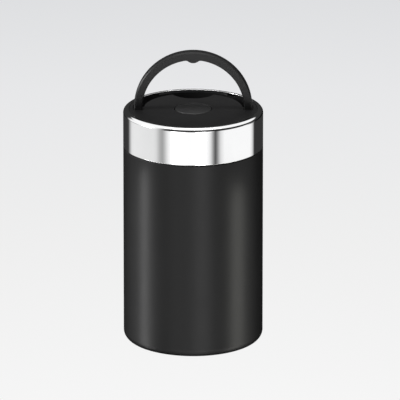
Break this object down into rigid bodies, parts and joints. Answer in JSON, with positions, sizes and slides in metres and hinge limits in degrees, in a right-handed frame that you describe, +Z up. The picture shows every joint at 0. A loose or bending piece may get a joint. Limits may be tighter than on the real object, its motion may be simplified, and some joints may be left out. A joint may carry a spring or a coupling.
{
  "type": "insulated food jar",
  "caption": "Round vacuum-insulated food jar with a flush screw-on lid, a fold-flat carrying handle hinged in the lid and a sprung vent button at its centre.",
  "frame": {"origin": "centre of the face that the jar stands on", "axes": "+Z up along the jar's axis; -Y is the front; the carrying handle's hinge axis runs along X and the handle folds back towards +Y"},
  "size_m": [0.1, 0.1, 0.2146],
  "materials": {
    "shell_coat": "satin black powder coat",
    "steel_inner": "electropolished steel",
    "band_chrome": "bright plated",
    "lid_plastic": "fine satin moulding",
    "handle_plastic": "satin moulding",
    "core_plastic": "plain moulding",
    "foam": "closed-cell foam",
    "silicone": "soft silicone",
    "pad_rubber": "soft matt rubber",
    "steel_small": "plain steel",
    "foil": "bright foil",
    "getter": "sintered"
  },
  "bodies": {
    "jar": {"outer_shell": "shell_coat", "shell_base": "steel_inner", "vacuum_seal": "steel_small", "base_disc": "steel_small", "base_pad": "pad_rubber", "inner_liner": "steel_inner", "foil_wrap": "foil", "getter_pellet": "getter", "getter_clip": "steel_small", "neck_collar": "core_plastic"},
    "seal": {"lid_seal": "silicone"},
    "lid": {"lid_band": "band_chrome", "rim_ring": "lid_plastic", "lid_core": "core_plastic", "lid_deck": "lid_plastic", "lid_plug": "core_plastic", "lid_foam": "foam", "lid_screws": "steel_small", "stem_bush": "core_plastic", "pivot_washers": "core_plastic", "button_spring": "steel_small"},
    "button": {"vent_button": "lid_plastic", "valve_stem": "steel_small", "stem_clip": "steel_small", "valve_poppet": "silicone"},
    "handle": {"handle_bail": "handle_plastic", "pivot_pins": "steel_small"}
  },
  "joints": [
    {"name": "lid_rise", "type": "slide", "parent": "jar", "child": "seal", "axis": [0, 0, 1], "range_m": [0, 0.041]},
    {"name": "lid_turn", "type": "hinge", "parent": "seal", "child": "lid", "pos_m": [0, 0, 0.158], "axis": [0, 0, 1], "range_deg": [0, 810]},
    {"name": "handle_fold", "type": "hinge", "parent": "lid", "child": "handle", "pos_m": [0, 0, 0.1689], "axis": [-1, 0, 0], "range_deg": [0, 90]},
    {"name": "button_press", "type": "slide", "parent": "lid", "child": "button", "axis": [0, 0, -1], "range_m": [0, 0.002], "stiffness_N_per_m": 500, "springref_m": -0.004, "deforming": ["button_spring"]}
  ],
  "couplings": [
    {"joint": "lid_rise", "follows": "lid_turn", "m_per_rad": 0.0028648}
  ]
}
